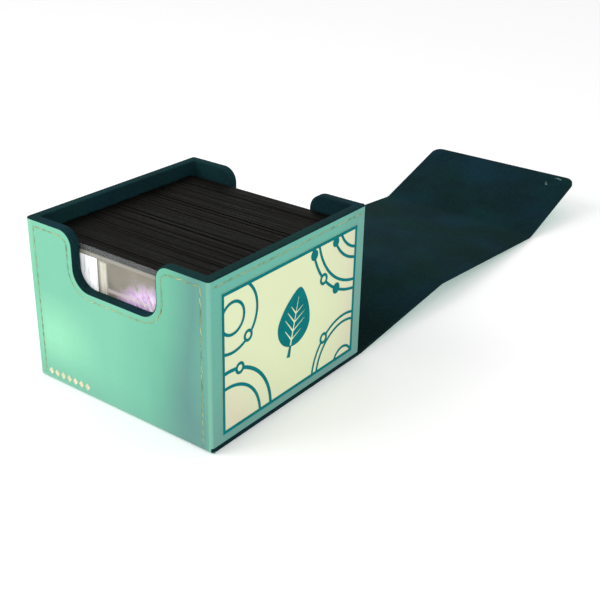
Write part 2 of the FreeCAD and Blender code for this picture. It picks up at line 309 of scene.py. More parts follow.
def pick_up(piece):
    """Leave piece alone selected and active, in object mode."""
    clear_selection()
    piece.hide_viewport = False
    piece.select_set(True)
    bpy.context.view_layer.objects.active = piece


def start_piece(name):
    """Name the primitive just added and move its place into its mesh."""
    piece = bpy.context.object
    piece.name = piece.data.name = name
    bpy.ops.object.transform_apply(location=True, rotation=True, scale=True)
    return piece


def new_block(name, low, high):
    """Cube primitive between two corners."""
    clear_selection()
    low, high = Vector(low), Vector(high)
    bpy.ops.mesh.primitive_cube_add(size=1, location=(low + high) / 2, scale=high - low)
    return start_piece(name)


def select(piece, kind, wanted):
    """Edit the piece with only the wanted VERT, EDGE or FACE elements selected."""
    pick_up(piece)
    bpy.ops.object.mode_set(mode="EDIT")
    bpy.ops.mesh.select_mode(type=kind)
    bpy.ops.mesh.select_all(action="DESELECT")
    mesh = bmesh.from_edit_mesh(piece.data)
    elements = {"VERT": mesh.verts, "EDGE": mesh.edges, "FACE": mesh.faces}[kind]
    for element in elements:
        if wanted(element):
            element.select_set(True)
    mesh.select_flush_mode()
    bmesh.update_edit_mesh(piece.data)


def delete(piece, wanted, kind="FACE"):
    select(piece, kind, wanted)
    bpy.ops.mesh.delete(type=kind)
    pick_up(piece)


def keep(piece, wanted):
    """Keep only the wanted faces."""
    delete(piece, lambda face: not wanted(face))


def edit_whole(piece):
    """Edit the piece with all of it selected."""
    pick_up(piece)
    bpy.ops.object.mode_set(mode="EDIT")
    bpy.ops.mesh.select_all(action="SELECT")


def cut_away(piece, point, direction):
    """Bisect the piece and drop what lies beyond point along direction."""
    edit_whole(piece)
    bpy.ops.mesh.bisect(plane_co=point, plane_no=direction, clear_outer=True)
    pick_up(piece)


def score(piece, point, direction):
    """Bisect the piece without removing anything."""
    edit_whole(piece)
    bpy.ops.mesh.bisect(plane_co=point, plane_no=direction)
    pick_up(piece)


def modify(piece, kind, **settings):
    """Add a modifier, set it and apply it."""
    pick_up(piece)
    modifier = piece.modifiers.new(kind.lower(), kind)
    for name, value in settings.items():
        setattr(modifier, name, value)
    bpy.ops.object.modifier_apply(modifier=modifier.name)


def carve(piece, *tools):
    """Cut the tools out of the piece and remove them."""
    for tool in tools:
        modify(piece, "BOOLEAN", operation="DIFFERENCE", object=tool, solver="EXACT")
        bpy.data.objects.remove(tool)


def copy_of(piece, name):
    """A second piece with its own mesh."""
    made = piece.copy()
    made.data = piece.data.copy()
    made.name = made.data.name = name
    bpy.context.collection.objects.link(made)
    return made


def round_edges(piece, radius, wanted, segments=4):
    select(piece, "EDGE", wanted)
    bpy.ops.mesh.bevel(offset=radius, segments=segments, profile=0.5, clamp_overlap=False)
    pick_up(piece)


def smooth(piece, degrees=35):
    pick_up(piece)
    bpy.ops.object.shade_smooth_by_angle(angle=math.radians(degrees))


def tidy(piece):
    """Merge doubles and point the faces outwards."""
    edit_whole(piece)
    bpy.ops.mesh.remove_doubles(threshold=0.002 * MM)
    bpy.ops.mesh.normals_make_consistent(inside=False)
    pick_up(piece)


def finish_piece(piece, material, body, slot, *nodes):
    """Give a piece its material, put it on its body and let it stand for CAD nodes."""
    if not piece.data.materials:
        piece.data.materials.append(None)
    piece.data.materials[0] = material
    if body:
        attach(piece, body)
    if nodes:
        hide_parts(*nodes)


def edge_runs(edge, axis):
    """True if the edge runs straight along one axis, 0, 1 or 2."""
    span = edge.verts[1].co - edge.verts[0].co
    return abs(span[axis]) > 0.999 * span.length


def middle(edge):
    return (edge.verts[0].co + edge.verts[1].co) / 2


def thumb_tool():
    """Prism of the thumb cut-out, wide above the rim, through the front and rear walls."""
    reach, top = back_face + wall, rim + 5 * MM
    tool = new_block("thumb_tool", (-thumb_half, -reach, thumb_bottom), (thumb_half, reach, top))
    level = rim + HAIR
    score(tool, (0, 0, level), (0, 0, 1))
    select(tool, "FACE", lambda face: abs(face.normal.x) > 0.9
           and face.calc_center_median().z > level)
    bpy.ops.mesh.extrude_region_shrink_fatten(
        TRANSFORM_OT_shrink_fatten={"value": THUMB_SHOULDER + wall})
    tidy(tool)
    round_edges(tool, THUMB_FOOT, lambda edge: edge_runs(edge, 1)
                and middle(edge).z < thumb_bottom + MM, 14)
    round_edges(tool, THUMB_SHOULDER, lambda edge: edge_runs(edge, 1)
                and abs(middle(edge).z - level) < TOUCH
                and abs(abs(middle(edge).x) - thumb_half) < TOUCH, 12)
    return tool


def make_tub():
    """The whole tray as one closed shape with soft edges, to be parted into its layers."""
    tub = new_block("tub", (-side, -back_face, 0), (side, back_face, rim))
    toe = strip_top
    weights = tub.data.attributes.new("bevel_weight_edge", "FLOAT", "EDGE")
    for edge in tub.data.edges:
        ends = [tub.data.vertices[i].co for i in edge.vertices]
        upright = abs(ends[0].z - ends[1].z) > MM
        at_front_foot = all(end.z < MM and end.y < 0 for end in ends)
        weights.data[edge.index].value = CORNER_ROUNDING / toe if upright else float(at_front_foot)
    modify(tub, "BEVEL", limit_method="WEIGHT", width=toe, segments=8, use_clamp_overlap=False)
    hollow = new_block("hollow", (wall - side, wall - back_face, floor_top),
                       (side - wall, back_face - wall, rim + wall))
    carve(tub, hollow, thumb_tool())
    tidy(tub)

    def is_rim_edge(edge):
        if len(edge.link_faces) != 2 or edge.calc_face_angle(0) < SHARP:
            return False
        place, inward = middle(edge), 3 * MM
        inside = abs(place.x) < side - inward and abs(place.y) < back_face - inward
        return inside or place.z > thumb_bottom - MM

    round_edges(tub, EDGE_ROUNDING, is_rim_edge)
    score(tub, (0, 0, strip_top), (0, 0, 1))
    return tub


def outer_skin(face):
    """Faces of the tub that the leatherette covers."""
    place, normal = face.calc_center_median(), face.normal
    on_side = abs(place.x) > side - CORNER_ROUNDING - TOUCH
    on_end = abs(place.y) > back_face - TOUCH and abs(normal.y) > 0.99
    toe = place.z < strip_top and place.y < strip_top - back_face
    below_rim = place.z < rim - EDGE_ROUNDING / 2 and abs(normal.z) < 0.05
    return toe or (on_side or on_end) and below_rim


def inner_lining(face):
    """Faces of the tub that the microfibre covers: rim, cut-outs and inner sides."""
    height = face.calc_center_median().z
    on_floor = face.normal.z > 0.9 and height < thumb_bottom - MM
    return not outer_skin(face) and height > floor_top + HAIR and not on_floor


def wall_part(tub, name, which, is_skin, thickness):
    """One wall's skin or lining, as a sheet with thickness."""
    sheet = copy_of(tub, name)
    keep(sheet, outer_skin if is_skin else inner_lining)
    ends = back_face - (strip_top if is_skin else wall + LINING_LAP)
    if which == "front":
        cut_away(sheet, (0, -ends, 0), (0, 1, 0))
    elif which == "rear":
        cut_away(sheet, (0, ends, 0), (0, -1, 0))
    else:
        cut_away(sheet, (0, ends, 0), (0, 1, 0))
        cut_away(sheet, (0, -ends, 0), (0, -1, 0))
        cut_away(sheet, (0, 0, 0), (-1 if which == "right" else 1, 0, 0))
    if is_skin and which != "front":
        cut_away(sheet, (0, 0, strip_top), (0, 0, -1))
    edit_whole(sheet)
    bpy.ops.mesh.remove_doubles(threshold=0.08 * MM)
    modify(sheet, "SOLIDIFY", thickness=thickness, offset=-1, use_even_offset=is_skin)
    smooth(sheet)
    return sheet


tub = make_tub()
skins = {}
for which in ("front", "rear", "left", "right"):
    skin = wall_part(tub, f"{which}_wall_leatherette", which, True, skin_depth)
    finish_piece(skin, leatherette, "tray", "leatherette", f"{which}_skin")
    skins[which] = skin
    if which == "front":
        skin.data.materials.append(lid_lining)
        score(skin, (0, 0, skin_depth), (0, 0, 1))
        for face in skin.data.polygons:
            at_corner = abs(face.center.x) > side - CORNER_ROUNDING
            at_toe_end = at_corner and skin_depth < face.center.z < strip_top
            face.material_index = int(at_toe_end and abs(face.normal.x) > 0.7)
    lining = wall_part(tub, f"{which}_wall_lining", which, False, lining_depth)
    finish_piece(lining, microfibre, "tray", "microfibre", f"{which}_lining")
bpy.data.objects.remove(tub)


# ---------------------------------------------------------------------------
# Seams: one pale olive thread runs round the front wall and its cut-out, and
# along the rim of each side wall. The stitches pull the leatherette into a groove.

STITCH_PITCH = 4.3 * MM
STITCH_LENGTH = 3.75 * MM
THREAD_WIDTH = 0.6 * MM
THREAD_SUNK = 0.16 * MM
GROOVE_RADIUS = 0.75 * MM
GROOVE_DEPTH = 0.22 * MM
SEAM_BELOW_RIM = 3.4 * MM
SEAM_FROM_SIDE = 4.5 * MM
SEAM_FOOT = 2.9 * MM
SIDE_SEAM_END = 50.8 * MM
SIDE_GROOVE_END = 50.3 * MM
ARC_STEPS = 12


def rounded_run(corners, spacing):
    """Points spacing apart along straight runs whose corners (across, up, radius) are arcs."""
    fine = []
    for before, here, after in zip(corners, corners[1:], corners[2:]):
        point = Vector(here[:2])
        inward = (Vector(before[:2]) - point).normalized()
        onward = (Vector(after[:2]) - point).normalized()
        half_angle = inward.angle(onward) / 2
        reach = here[2] / math.tan(half_angle)
        centre = point + (inward + onward).normalized() * here[2] / math.sin(half_angle)
        first = point + inward * reach - centre
        turn = math.pi - 2 * half_angle
        turn = -turn if first.cross(point + onward * reach - centre) < 0 else turn
        for step in range(ARC_STEPS + 1):
            angle = turn * step / ARC_STEPS
            fine.append(centre + Vector((first.x * math.cos(angle) - first.y * math.sin(angle),
                                         first.x * math.sin(angle) + first.y * math.cos(angle))))
    fine = [Vector(corners[0][:2]), *fine, Vector(corners[-1][:2])]
    total = sum((b - a).length for a, b in zip(fine, fine[1:]))
    count = max(round(total / spacing), 1)
    run, walked, leg = [], 0.0, 0
    for index in range(count + 1):
        target = total * index / count
        while leg < len(fine) - 2 and walked + (fine[leg + 1] - fine[leg]).length < target:
            walked += (fine[leg + 1] - fine[leg]).length
            leg += 1
        step = fine[leg + 1] - fine[leg]
        run.append(fine[leg] + step * min((target - walked) / step.length, 1.0))
    return run


thread = Shader("olive_thread", Roughness=0.62, Sheen_Weight=0.2, Specular_IOR_Level=0.3)
thread.drive(Base_Color=thread.two_tone(160, linear(116, 138, 92), linear(186, 196, 142),
                                        0.35, 0.65),
             Normal=thread.relief(1800, 0.00012, 0.8))

clear_selection()
bpy.ops.mesh.primitive_uv_sphere_add(segments=8, ring_count=8, radius=THREAD_WIDTH / 2)
stitch = start_piece("stitch")
stretch = (STITCH_LENGTH - THREAD_WIDTH) / 2
for sign in (1, -1):
    select(stitch, "VERT", lambda vert: vert.co.z * sign > 0.02 * MM)
    bpy.ops.transform.translate(value=(0, 0, sign * stretch))
    select(stitch, "VERT", lambda vert: vert.co.z * sign > stretch + TOUCH)
    bpy.ops.transform.translate(value=(0, -THREAD_SUNK, 0))
smooth(stitch, 80)


def merge(name, shapes):
    clear_selection()
    for shape in shapes:
        shape.select_set(True)
    bpy.context.view_layer.objects.active = shapes[0]
    bpy.ops.object.join()
    joined = bpy.context.object
    joined.name = joined.data.name = name
    return joined


def sew(name, run, to_wall, out, *nodes):
    """Lay a row of stitches along run; to_wall turns (across, up) into a place on the wall."""
    laid = []
    for start, end in zip(run, run[1:]):
        here, there = to_wall(*start), to_wall(*end)
        along = (there - here).normalized()
        across = out.cross(along).normalized()
        slant = 0.13 + chance.uniform(-0.06, 0.06)
        along, across = along + across * slant, across - along * slant
        stray = across * chance.uniform(-0.08, 0.08) * MM
        place = (here + there) / 2 - out * THREAD_SUNK + stray
        made = copy_of(stitch, f"{name}_stitch")
        turned = Matrix((across, out, along)).transposed().to_4x4()
        made.data.transform(Matrix.Translation(place) @ turned)
        laid.append(made)
    finish_piece(merge(name, laid), thread.material, "tray", "thread", *nodes)


def press_groove(skin, run, to_wall, out):
    """Sink a shallow round groove into a skin along run."""
    clear_selection()
    bpy.ops.curve.primitive_bezier_curve_add()
    path = bpy.context.object
    path.data.splines.clear()
    spline = path.data.splines.new("POLY")
    spline.points.add(len(run) - 1)
    for point, place in zip(spline.points, run):
        point.co = (*(to_wall(*place) + out * (GROOVE_RADIUS - GROOVE_DEPTH)), 1)
    path.data.bevel_depth = GROOVE_RADIUS
    path.data.bevel_resolution = 3
    path.data.use_fill_caps = True
    bpy.ops.object.convert(target="MESH")
    groove = bpy.context.object
    tidy(groove)
    carve(skin, groove)
    tidy(skin)
    smooth(skin)


chance = random.Random(7)
edge, top, foot = side - SEAM_FROM_SIDE, rim - SEAM_BELOW_RIM, thumb_bottom - SEAM_BELOW_RIM
cut = thumb_half + SEAM_BELOW_RIM
shoulder, bowl = THUMB_SHOULDER - SEAM_BELOW_RIM, THUMB_FOOT + SEAM_BELOW_RIM
front_corners = [(-edge, top, 0), (-cut, top, shoulder), (-cut, foot, bowl),
                 (cut, foot, bowl), (cut, top, shoulder), (edge, top, 0)]


def front_run(spacing):
    """Up the left edge, round the cut-out and down the right edge, turning on a hole."""
    run = rounded_run([(-edge, SEAM_FOOT, 0), (-edge, top, 0)], spacing)
    run += rounded_run(front_corners, spacing)[1:]
    return run + rounded_run([(edge, top, 0), (edge, SEAM_FOOT, 0)], spacing)[1:]


def on_front(across, up):
    return Vector((across, -back_face, up))


def on_right(across, up):
    return Vector((side, across, up))


def on_left(across, up):
    return Vector((-side, across, up))


frontward, rightward = Vector((0, -1, 0)), Vector((1, 0, 0))
press_groove(skins["front"], front_run(MM), on_front, frontward)
sew("front_stitching", front_run(STITCH_PITCH), on_front, frontward, "front_seam")
groove = [Vector((-SIDE_GROOVE_END, top)), Vector((SIDE_GROOVE_END, top))]
press_groove(skins["right"], groove, on_right, rightward)
press_groove(skins["left"], groove, on_left, -rightward)
rail = rounded_run([(-SIDE_SEAM_END, top, 0), (0, top, 0), (SIDE_SEAM_END, top, 0)], STITCH_PITCH)
sew("right_rim_stitching", rail, on_right, rightward, "side_seams")
sew("left_rim_stitching", rail, on_left, -rightward)
bpy.data.objects.remove(stitch)


# ---------------------------------------------------------------------------
# Lid: one long wrapped strip that starts under the tray, climbs behind it, arches
# over and ends in the closing flap. Leatherette lies under it and microfibre on top,
# and between its boards it bends softly at three folds.

FOLD_HALF = 2.4 * MM
FLAP_LENGTH = 64 * MM
FLAP_RISE = math.radians(17.5)
TIP_ROUNDING = 6.0 * MM
STRIP_EDGE_ROUNDING = 0.6 * MM
RUN_STEPS = 6
BEND_STEPS = 12
half_strip = strip_top / 2
fold_points = {joint["name"]: Vector(joint["pos_m"]) for joint in frame["joints"]
               if joint["type"] == "hinge"}
folds = [fold_points[name] for name in ("back_fold", "top_fold", "front_fold")]
headings = [math.atan2(b.z - a.z, b.y - a.y) for a, b in zip(folds, folds[1:])]
headings = [0.0, *headings, FLAP_RISE]


def ahead(heading):
    return Vector((0, math.cos(heading), math.sin(heading)))


def above(heading):
    """Unit vector out of the strip's lining, where the strip runs at heading."""
    return Vector((0, -math.sin(heading), math.cos(heading)))


def make_strip():
    """Sweep the strip's end along its path: straight runs, and an arc at each fold."""
    start = Vector((0, strip_top - back_face, half_strip))
    clear_selection()
    bpy.ops.mesh.primitive_plane_add(size=1, location=start, rotation=(math.pi / 2, 0, 0))
    strip = start_piece("lid_strip")
    select(strip, "FACE", lambda face: True)
    bpy.ops.transform.resize(value=(2 * side, 1, strip_top), center_override=start)
    here = start
    for index, fold in enumerate([*folds, folds[-1] + ahead(headings[-1]) * FLAP_LENGTH]):
        heading = headings[index]
        last = index == len(folds)
        stop = fold if last else fold - ahead(heading) * FOLD_HALF
        step = (stop - here) / RUN_STEPS
        for _ in range(RUN_STEPS):
            bpy.ops.mesh.extrude_region_move(TRANSFORM_OT_translate={"value": step})
        if last:
            break
        turn = headings[index + 1] - heading
        radius = FOLD_HALF / math.tan(abs(turn) / 2)
        centre = stop + above(heading) * math.copysign(radius, turn)
        bpy.ops.mesh.spin(steps=BEND_STEPS, angle=-turn, center=centre, axis=(1, 0, 0))
        here = fold + ahead(headings[index + 1]) * FOLD_HALF
    bpy.ops.mesh.select_all(action="DESELECT")
    bpy.ops.mesh.select_interior_faces()
    bpy.ops.mesh.delete(type="FACE")
    tidy(strip)
    tip = folds[-1].y + FLAP_LENGTH * math.cos(FLAP_RISE)

    def is_tip_corner(edge):
        upright = abs(edge.calc_length() - strip_top) < TOUCH / 2
        at_side = all(abs(abs(vert.co.x) - side) < HAIR for vert in edge.verts)
        return upright and at_side and middle(edge).y > tip - 2 * MM

    round_edges(strip, TIP_ROUNDING, is_tip_corner, 10)
    round_edges(strip, STRIP_EDGE_ROUNDING, lambda edge: len(edge.link_faces) == 2
                and edge.calc_face_angle(0) > SHARP, 3)
    return strip


def under_strip(face):
    """True for a face on the strip's underside."""
    place = face.calc_center_median()
    heading = headings[sum(place.y > fold.y for fold in folds)]
    return face.normal.dot(above(heading)) < -0.9


strip = make_strip()
base_end = 40 * MM
back_middle, top_middle = ((a.y + b.y) / 2 for a, b in zip(folds, folds[1:]))
segments = [("base", None, base_end), ("back_fold", base_end, back_middle),
            ("top_fold", back_middle, top_middle), ("front_fold", top_middle, None)]
stands_for = {
    "base": (["base_skin"], ["base_lining"]),
    "back_fold": (["back_panel_skin"], ["base_web", "back_panel_lining"]),
    "top_fold": (["top_panel_skin"], ["back_panel_webs", "top_panel_lining"]),
    "front_fold": (["flap_skin"], ["top_panel_webs", "flap_lining", "flap_webs"]),
}
layers = (("leatherette", leatherette, "leatherette", skin_depth),
          ("lining", lid_lining, "microfibre", lining_depth))
for name, first, last in segments:
    for (layer, material, slot, depth), nodes in zip(layers, stands_for[name]):
        sheet = copy_of(strip, f"lid_{name}_{layer}")
        keep(sheet, lambda face: under_strip(face) == (layer == "leatherette"))
        if first is not None:
            cut_away(sheet, (0, first, 0), (0, -1, 0))
        if last is not None:
            cut_away(sheet, (0, last, 0), (0, 1, 0))
        modify(sheet, "SOLIDIFY", thickness=depth, offset=-1, use_even_offset=True)
        smooth(sheet)
        if name == "base":
            finish_piece(sheet, material, "tray", slot, *nodes)
        else:
            finish_piece(sheet, material, None, slot, *nodes)
            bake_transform(sheet)
bpy.data.objects.remove(strip)

# The two magnets under the flap's lining push it up into faint round bumps. Two short
# arcs of the right bump's edge carry painted glints: a lighter colour with a shinier finish.
painted_glint = Shader("painted_glint_microfibre", Specular_IOR_Level=0.5)
shine = painted_glint.varied(600, 0.0, 1.0, 0.4, 0.6, detail=1.0)
painted_glint.drive(Base_Color=painted_glint.mix(shine, linear(14, 42, 46), linear(104, 140, 142)),
             Roughness=painted_glint.spread(shine, 0.0, 1.0, 0.7, 0.35))
MAGNET_RADIUS = 5 * MM
BUMP_SUNK = 0.2 * MM
magnet_low, magnet_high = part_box("flap_magnets")
magnet_y = (magnet_low.y + magnet_high.y) / 2
along = (magnet_y - folds[-1].y) / math.cos(FLAP_RISE)
for name, x in (("left_magnet_bump", magnet_low.x + MAGNET_RADIUS),
                ("right_magnet_bump", magnet_high.x - MAGNET_RADIUS)):
    seat = Vector((x, folds[-1].y, folds[-1].z)) + ahead(FLAP_RISE) * along
    seat += above(FLAP_RISE) * (half_strip - BUMP_SUNK)
    clear_selection()
    bpy.ops.mesh.primitive_cylinder_add(vertices=48, radius=MAGNET_RADIUS + 0.7 * MM,
                                        depth=2 * BUMP_SUNK)
    bump = start_piece(name)
    select(bump, "FACE", lambda face: face.normal.z > 0.9)
    for margin, rise in ((0.5, 0.3), (0.3, 0.06), (0.5, -0.2)):
        bpy.ops.mesh.inset(thickness=margin * MM, depth=rise * MM)
    pick_up(bump)
    bump.data.materials.append(lid_lining)
    bump.data.materials.append(painted_glint.material)
    for face in bump.data.polygons:
        # Painted glints: only two arcs of the right bump's edge get them.
        bearing = math.degrees(math.atan2(face.center.y, face.center.x))
        glint_arc = x > 0 and (55 < bearing < 105 or -165 < bearing < -130)
        face.material_index = int(0.2 < face.normal.z < 0.99 and glint_arc)
    bump.data.transform(Matrix.Translation(seat) @ Matrix.Rotation(FLAP_RISE, 4, "X"))
    smooth(bump, 60)
    finish_piece(bump, lid_lining, "front_flap", "microfibre")


# ---------------------------------------------------------------------------
# Printed side: a cream panel screen-printed on the right wall in teal ink, with a
# frame, plain rings in the corners and a leaf. The ink stands a hair proud.

cream = Shader("cream_print", Specular_IOR_Level=0.35)
# The cream carries painted shade: darker and warmer towards the rear and towards the front lower
# corner.
warm = cream.noise(22, detail=1.0)
_, across, upward = cream.axes()
right_drift = cream.spread(across, 0.014, 0.046) * 0.75
corner_drift = cream.spread(upward * 0.9 + across, 0.012, -0.04) * 0.9
drift = cream.spread(right_drift + corner_drift + (warm - 0.5) * 0.5, 0.0, 1.1)
cream.drive(Base_Color=cream.ramp(drift, (0.0, linear(232, 241, 196)),
                                  (0.45, linear(228, 233, 194)), (1.0, linear(222, 206, 182))),
            Roughness=cream.varied(260, 0.44, 0.56), Normal=cream.relief(2400, 0.00002, 0.5))

ink = Shader("teal_ink", Specular_IOR_Level=0.03)
ink.drive(Base_Color=ink.two_tone(180, linear(0, 116, 120), linear(2, 126, 128)),
          Roughness=ink.varied(900, 0.5, 0.65), Normal=ink.relief(3000, 0.00002, 0.5))

panel_low, panel_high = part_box("printed_panel")
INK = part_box("print_border")[1].x - panel_high.x
BORDER = 1.5 * MM
OVERLAP = 0.002 * MM
BEAD, LINE = 2.8, 1.35
BEAD_RING = (BEAD - LINE / 2, LINE)


def panel_disc(name, across, up, radius, corners=96):
    """Flat disc on the panel's face; across and up are in mm from its front lower corner."""
    clear_selection()
    place = (panel_high.x, panel_low.y + across * MM, panel_low.z + up * MM)
    bpy.ops.mesh.primitive_circle_add(vertices=corners, radius=radius * MM, fill_type="NGON",
                                      location=place, rotation=(0, math.pi / 2, 0))
    return start_piece(name)


def print_layer(shape, height):
    """Trim a flat shape to the frame's inside and give it the ink's thickness."""
    margin = Vector((0, BORDER, BORDER))
    for direction in (Vector((0, 1, 0)), Vector((0, 0, 1))):
        cut_away(shape, panel_low + margin, -direction)
        cut_away(shape, panel_high - margin, direction)
    tidy(shape)
    select(shape, "FACE", lambda face: face.normal.x < 0)
    bpy.ops.mesh.flip_normals()
    modify(shape, "SOLIDIFY", thickness=height, offset=1)
    return shape


def punch(shape, across, up, radius):
    """Cut a round hole through a printed shape."""
    tool = panel_disc("punch_tool", across, up, radius, 48)
    select(tool, "FACE", lambda face: True)
    bpy.ops.mesh.extrude_region_move(TRANSFORM_OT_translate={"value": (2 * MM, 0, 0)})
    pick_up(tool)
    tool.data.transform(Matrix.Translation((-MM, 0, 0)))
    tidy(tool)
    carve(shape, tool)


def ring(height, across, up, radius, width, *bead_place):
    """Printed ring, with a hole where a bead interrupts it."""
    made = panel_disc("ring", across, up, radius + width / 2)
    select(made, "FACE", lambda face: True)
    bpy.ops.mesh.inset(thickness=width * MM)
    bpy.ops.mesh.delete(type="FACE")
    pick_up(made)
    print_layer(made, height)
    if bead_place:
        punch(made, *bead_place, BEAD)
    return made


# Each ring and dot is a hair thicker than the one before, so that crossings stay clean.
# Rings are across, up, radius and line width, then the bead's place if there is one.
ring_sizes = [
    (6.5, 51.0, 15.2, LINE, 16.0, 39.6), (6.5, 51.0, 7.0, LINE), (16.0, 39.6, *BEAD_RING),
    (3.0, 0.0, 28.0, LINE + 0.3, 10.8, 26.9), (3.0, 0.0, 20.8, LINE + 0.1),
    (10.8, 26.9, *BEAD_RING), (96.0, 70.5, 17.5, LINE), (96.0, 70.5, 22.4, LINE),
    (96.0, 70.5, 33.2, LINE), (96.0, 70.5, 37.6, LINE, 67.7, 45.8), (67.7, 45.8, *BEAD_RING),
    (84.6, -2.0, 24.0, LINE - 0.1, 68.9, 16.2), (84.6, -2.0, 20.6, LINE - 0.1),
    (84.6, -2.0, 7.2, LINE - 0.1), (68.9, 16.2, *BEAD_RING),
]
dot_sizes = [(60.3, 59.6, 2.5), (76.1, 60.6, 2.3), (77.5, 37.9, 2.6)]
printed_shapes = [ring(INK + OVERLAP * layer, *sizes)
                  for layer, sizes in enumerate(ring_sizes, 1)]
for layer, sizes in enumerate(dot_sizes, len(ring_sizes) + 1):
    dot = panel_disc("dot", *sizes, 48)
    printed_shapes.append(print_layer(dot, INK + OVERLAP * layer))
corner_rings = merge("corner_rings_print", printed_shapes)
finish_piece(corner_rings, ink.material, "tray", "print_ink")

# The leaf starts as a disc, is drawn out to a point and has its ribs cut out.
LEAF_HALF_WIDTH, LEAF_TOP, LEAF_FOOT, LEAF_POINT = 11.4, 14.5, 10.5, 1.8
SHOULDER_TAPER = 0.22
leaf = panel_disc("leaf_print", 0, 0, LEAF_HALF_WIDTH, 72)
leaf_origin = Vector((panel_high.x, panel_low.y, panel_low.z))
for vert in leaf.data.vertices:
    local = vert.co - leaf_origin
    angle = math.atan2(local.z, local.y)
    rise = math.sin(angle)
    above = max(rise, 0.0)
    width = math.cos(angle) * LEAF_HALF_WIDTH * (1 - SHOULDER_TAPER * above)
    height = (LEAF_TOP if rise > 0 else LEAF_FOOT) * rise + LEAF_POINT * above ** 10
    vert.co = leaf_origin + Vector((0, width, height)) * MM
modify(leaf, "SOLIDIFY", thickness=INK + OVERLAP, offset=1)


def turn_and_place(piece, degrees, across, up):
    """Turn a piece of the leaf about the leaf's heart, then move it over the panel, in mm."""
    piece.data.transform(Matrix.Translation(leaf_origin + Vector((0, across, up)) * MM)
                         @ Matrix.Rotation(math.radians(degrees), 4, "X")
                         @ Matrix.Translation(-leaf_origin))


def rib(length, width, up, tilt):
    """Tapered bar across the leaf, to be cut out of it."""
    bar = new_block("rib_tool", leaf_origin - Vector((1, width / 2, 0)) * MM,
                    leaf_origin + Vector((1, width / 2, length)) * MM)
    select(bar, "FACE", lambda face: face.normal.z > 0.9)
    bpy.ops.transform.resize(value=(1, 0.35, 1))
    pick_up(bar)
    turn_and_place(bar, tilt, 0, up)
    return bar


RIB_TILT = 52
ribs = [rib(23, 1.2, -11, 0)]
for up, length in ((-7.4, 7.4), (-3.4, 8.8), (0.6, 7.8), (4.6, 5.6)):
    ribs += [rib(length, 0.9, up, tilt) for tilt in (RIB_TILT, -RIB_TILT)]
carve(leaf, *ribs)
stalk = new_block("stalk", leaf_origin + Vector((0, -0.7, -15.5)) * MM,
                  leaf_origin + Vector((0.104, 0.7, -9.9)) * MM)
select(stalk, "FACE", lambda face: face.normal.z < -0.9)
bpy.ops.transform.resize(value=(1, 1.7, 1))
pick_up(stalk)
leaf = merge("leaf_print", [leaf, stalk])
turn_and_place(leaf, -14, 46.8, 32.5)
finish_piece(leaf, ink.material, "tray", "print_ink")


def surface_node(name, material):
    """Give a CAD node that stays its material."""
    slots = frame["nodes"][name].data.materials
    slots.clear()
    slots.append(material)


surface_node("printed_panel", cream.material)
surface_node("print_border", ink.material)


# ---------------------------------------------------------------------------
# Foil mark: a row of plain lozenges pressed in pale gold foil, low on the front.

foil = Shader("pale_gold_foil", Metallic=0.55)
foil.drive(Base_Color=foil.two_tone(300, linear(226, 206, 172), linear(248, 234, 206)),
           Roughness=foil.varied(1300, 0.25, 0.42), Normal=foil.relief(2600, 0.00001, 0.4))
surface_node("foil_mark", foil.material)


# ---------------------------------------------------------------------------
# Deck: 101 cards in black plastic sleeves, packed on edge behind the front card.
# Each sleeve is open at the top, and stands a little higher or lower than the next.

plastic = Shader("black_sleeve_plastic", Specular_IOR_Level=0.14)
scuffs = plastic.noise(160, stretch=(0.2, 1, 1))
plastic.drive(Base_Color=plastic.mix(plastic.spread(scuffs, 0.3, 0.75), linear(10, 9, 6),
                                     linear(17, 15, 11)),
              Roughness=plastic.spread(scuffs, 0.3, 0.7, 0.34, 0.5),
              Normal=plastic.relief(1500, 0.00001, 0.4, stretch=(0.1, 1, 1)))

card_core = Shader("card_core", Roughness=0.8)
card_core.drive(Base_Color=card_core.two_tone(900, linear(52, 48, 44), linear(96, 90, 82)),
                Normal=card_core.relief(5000, 0.00003, 0.6))

SLEEVE_PITCH = 0.92 * MM
SLEEVE_DEPTH = 0.66 * MM
FILM = 0.17 * MM
MOUTH = 3.0 * MM
SLIP, BOW, LEAN, HIGHEST = 0.55 * MM, 0.05 * MM, 0.08 * MM, 0.15 * MM
SUNK_SHARE, SUNK = 0.08, 0.25 * MM
deck_low, deck_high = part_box("sleeved_cards")
sleeve_count = round((deck_high.y - deck_low.y - SLEEVE_DEPTH) / SLEEVE_PITCH) + 1
sleeve = new_block("sleeve", deck_low, (deck_high.x, deck_low.y + SLEEVE_DEPTH, deck_high.z))
for share in (-0.6, -0.2, 0.2, 0.6):
    score(sleeve, (deck_high.x * share, 0, 0), (1, 0, 0))
select(sleeve, "FACE", lambda face: face.normal.z > 0.9)
bpy.ops.mesh.inset(thickness=FILM, depth=0)
bpy.ops.mesh.extrude_region_move(TRANSFORM_OT_translate={"value": (0, 0, -MOUTH)})
pick_up(sleeve)
sleeve.data.materials.append(plastic.material)
sleeve.data.materials.append(card_core.material)
for face in sleeve.data.polygons:
    face.material_index = int(face.normal.z > 0.9 and face.center.z < deck_high.z - MM)
copies = []
for index in range(sleeve_count):
    made = copy_of(sleeve, "sleeve_copy")
    shift = Vector((chance.uniform(-SLIP, SLIP), SLEEVE_PITCH * index, 0))
    lift = chance.uniform(-0.14, 0.09) * MM
    lift -= SUNK if chance.random() < SUNK_SHARE else 0
    tilt = chance.uniform(-LEAN, LEAN)
    bow = chance.uniform(-BOW, BOW)
    for vert in made.data.vertices:
        across = vert.co.x / deck_high.x
        raised = (vert.co.z - deck_low.z) / (deck_high.z - deck_low.z)
        vert.co += shift
        if raised > 0.5:
            vert.co.z += min(lift + tilt * across, HIGHEST)
            vert.co.y += bow * (1 - across * across) * raised
    copies.append(made)
bpy.data.objects.remove(sleeve)
